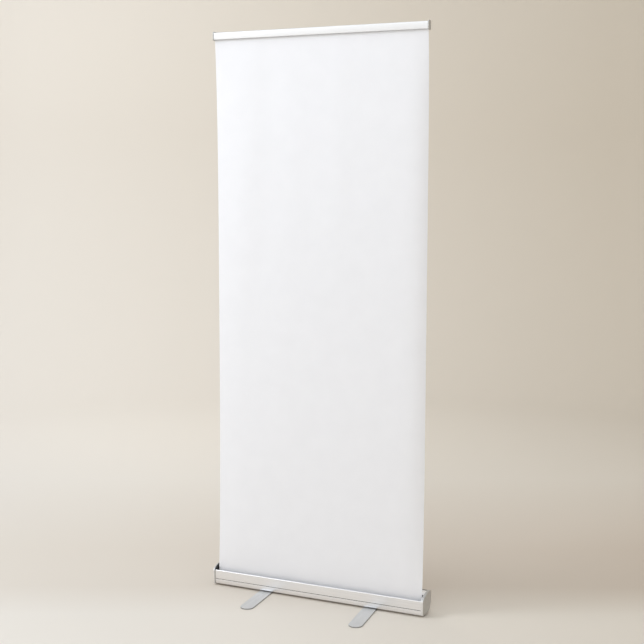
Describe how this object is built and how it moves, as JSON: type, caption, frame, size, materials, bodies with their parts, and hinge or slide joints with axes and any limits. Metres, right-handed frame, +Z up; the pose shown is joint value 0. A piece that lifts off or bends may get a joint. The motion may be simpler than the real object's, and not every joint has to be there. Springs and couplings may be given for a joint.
{
  "type": "roll-up banner stand",
  "caption": "Free-standing roll-up banner stand: blank white sheet held up by a telescopic mast and top rail, drawn from a sprung roller in an aluminium floor cassette on swivel feet.",
  "frame": {"origin": "on the floor, under the middle of the whole stand's box: half way along the cassette, and half way between the front and rear tips of the feet", "axes": "+X to the viewer's right along the cassette, -Y out of the banner's printed face, +Z up"},
  "size_m": [0.875, 0.4048, 2.1369],
  "materials": {
    "satin_aluminium": "satin anodised extrusion, fine lines along its length",
    "foot_aluminium": "satin flat bar",
    "silver_plastic": "silver-grey moulded plastic",
    "black_plastic": "black moulded plastic, fine texture",
    "zinc_steel": "bright zinc plated",
    "spring_steel": "oiled spring wire",
    "white_banner": "blank matt white banner cloth",
    "leader_film": "the cloth's own lead-in turns on the roller"
  },
  "bodies": {
    "base": {"base_housing": "satin_aluminium", "end_cap_left": "silver_plastic", "end_cap_right": "silver_plastic", "end_cover_left": "silver_plastic", "end_cover_right": "silver_plastic", "end_cap_screw_left_1": "zinc_steel", "end_cap_screw_left_2": "zinc_steel", "end_cap_screw_left_3": "zinc_steel", "end_cap_screw_right_1": "zinc_steel", "end_cap_screw_right_2": "zinc_steel", "end_cap_screw_right_3": "zinc_steel", "spring_spindle": "zinc_steel", "torsion_spring": "spring_steel", "idle_axle": "zinc_steel", "banner": "white_banner", "mast_socket": "black_plastic", "mast_foot_plug": "black_plastic", "mast_lower_tube": "satin_aluminium", "lower_lock_collet": "zinc_steel", "left_foot_bolt": "zinc_steel", "left_foot_washer": "black_plastic", "left_foot_nut": "zinc_steel", "right_foot_bolt": "zinc_steel", "right_foot_washer": "black_plastic", "right_foot_nut": "zinc_steel"},
    "left_foot": {"left_foot": "foot_aluminium"},
    "right_foot": {"right_foot": "foot_aluminium"},
    "roller": {"roller_tube": "satin_aluminium", "roller_plug_spring_side": "black_plastic", "roller_plug_idle_side": "black_plastic", "banner_leader": "leader_film"},
    "lower_lock": {"lower_twist_lock": "black_plastic"},
    "mast_middle": {"mast_middle_tube": "satin_aluminium", "upper_lock_collet": "zinc_steel"},
    "upper_lock": {"upper_twist_lock": "black_plastic"},
    "mast_upper": {"mast_upper_tube": "satin_aluminium", "mast_top_fitting": "black_plastic", "rail_hook_bracket": "zinc_steel", "rail_bracket_screw_left": "zinc_steel", "rail_bracket_screw_right": "zinc_steel", "top_rail": "satin_aluminium", "banner_gripper_strip": "black_plastic", "rail_plug_left": "silver_plastic", "rail_plug_right": "silver_plastic"}
  },
  "joints": [
    {"name": "mast_middle_slide", "type": "slide", "parent": "base", "child": "mast_middle", "axis": [0, -0.0154, 0.9999], "range_m": [-0.61, 0], "deforming": ["banner"]},
    {"name": "mast_upper_slide", "type": "slide", "parent": "mast_middle", "child": "mast_upper", "axis": [0, -0.0154, 0.9999], "range_m": [-0.61, 0]},
    {"name": "roller_turn", "type": "hinge", "parent": "base", "child": "roller", "pos_m": [0, 0.03294, 0.036], "axis": [1, 0, 0], "range_deg": [-30, 3990]},
    {"name": "left_foot_fold", "type": "hinge", "parent": "base", "child": "left_foot", "pos_m": [-0.2104, 0.01994, 0.002], "axis": [0, 0, 1], "range_deg": [-94.4, 5.6]},
    {"name": "right_foot_fold", "type": "hinge", "parent": "base", "child": "right_foot", "pos_m": [0.2248, 0.01994, 0.002], "axis": [0, 0, 1], "range_deg": [-95.8, 4.2]},
    {"name": "lower_lock_twist", "type": "hinge", "parent": "base", "child": "lower_lock", "pos_m": [0, 0.05663, 0.764], "axis": [0, -0.0154, 0.9999], "range_deg": [0, 90]},
    {"name": "upper_lock_twist", "type": "hinge", "parent": "mast_middle", "child": "upper_lock", "pos_m": [0, 0.04636, 1.432], "axis": [0, -0.0154, 0.9999], "range_deg": [0, 90]}
  ],
  "couplings": [
    {"joint": "mast_upper_slide", "follows": "mast_middle_slide", "ratio": 1},
    {"joint": "roller_turn", "follows": "mast_middle_slide", "rad_per_m": -113.31}
  ]
}
